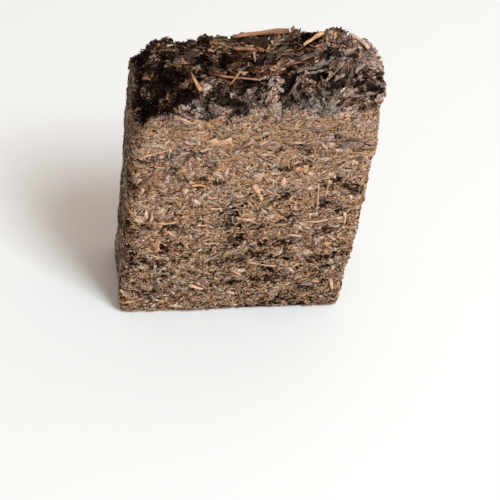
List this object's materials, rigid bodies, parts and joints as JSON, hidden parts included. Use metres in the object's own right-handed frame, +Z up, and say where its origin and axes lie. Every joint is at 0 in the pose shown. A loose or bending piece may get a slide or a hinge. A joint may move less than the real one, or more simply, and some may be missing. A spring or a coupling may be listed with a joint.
{
  "type": "pressed tea brick",
  "caption": "Tall flat brick of pressed dark tea leaves and stems, standing on its narrow end with its upper end broken open and craggy.",
  "frame": {"origin": "middle of the flat foot that the brick stands on, at the middle of its plan", "axes": "+X along the brick's width, -Y out of its broad front face, +Z up its long side to the broken end"},
  "size_m": [0.1202, 0.0492, 0.1611],
  "materials": {
    "pressed_tea": "matt pressed leaf and stem, brown on the pressed faces and near black on the broken end"
  },
  "bodies": {
    "root": {"pressed_brick": "pressed_tea"}
  },
  "joints": []
}
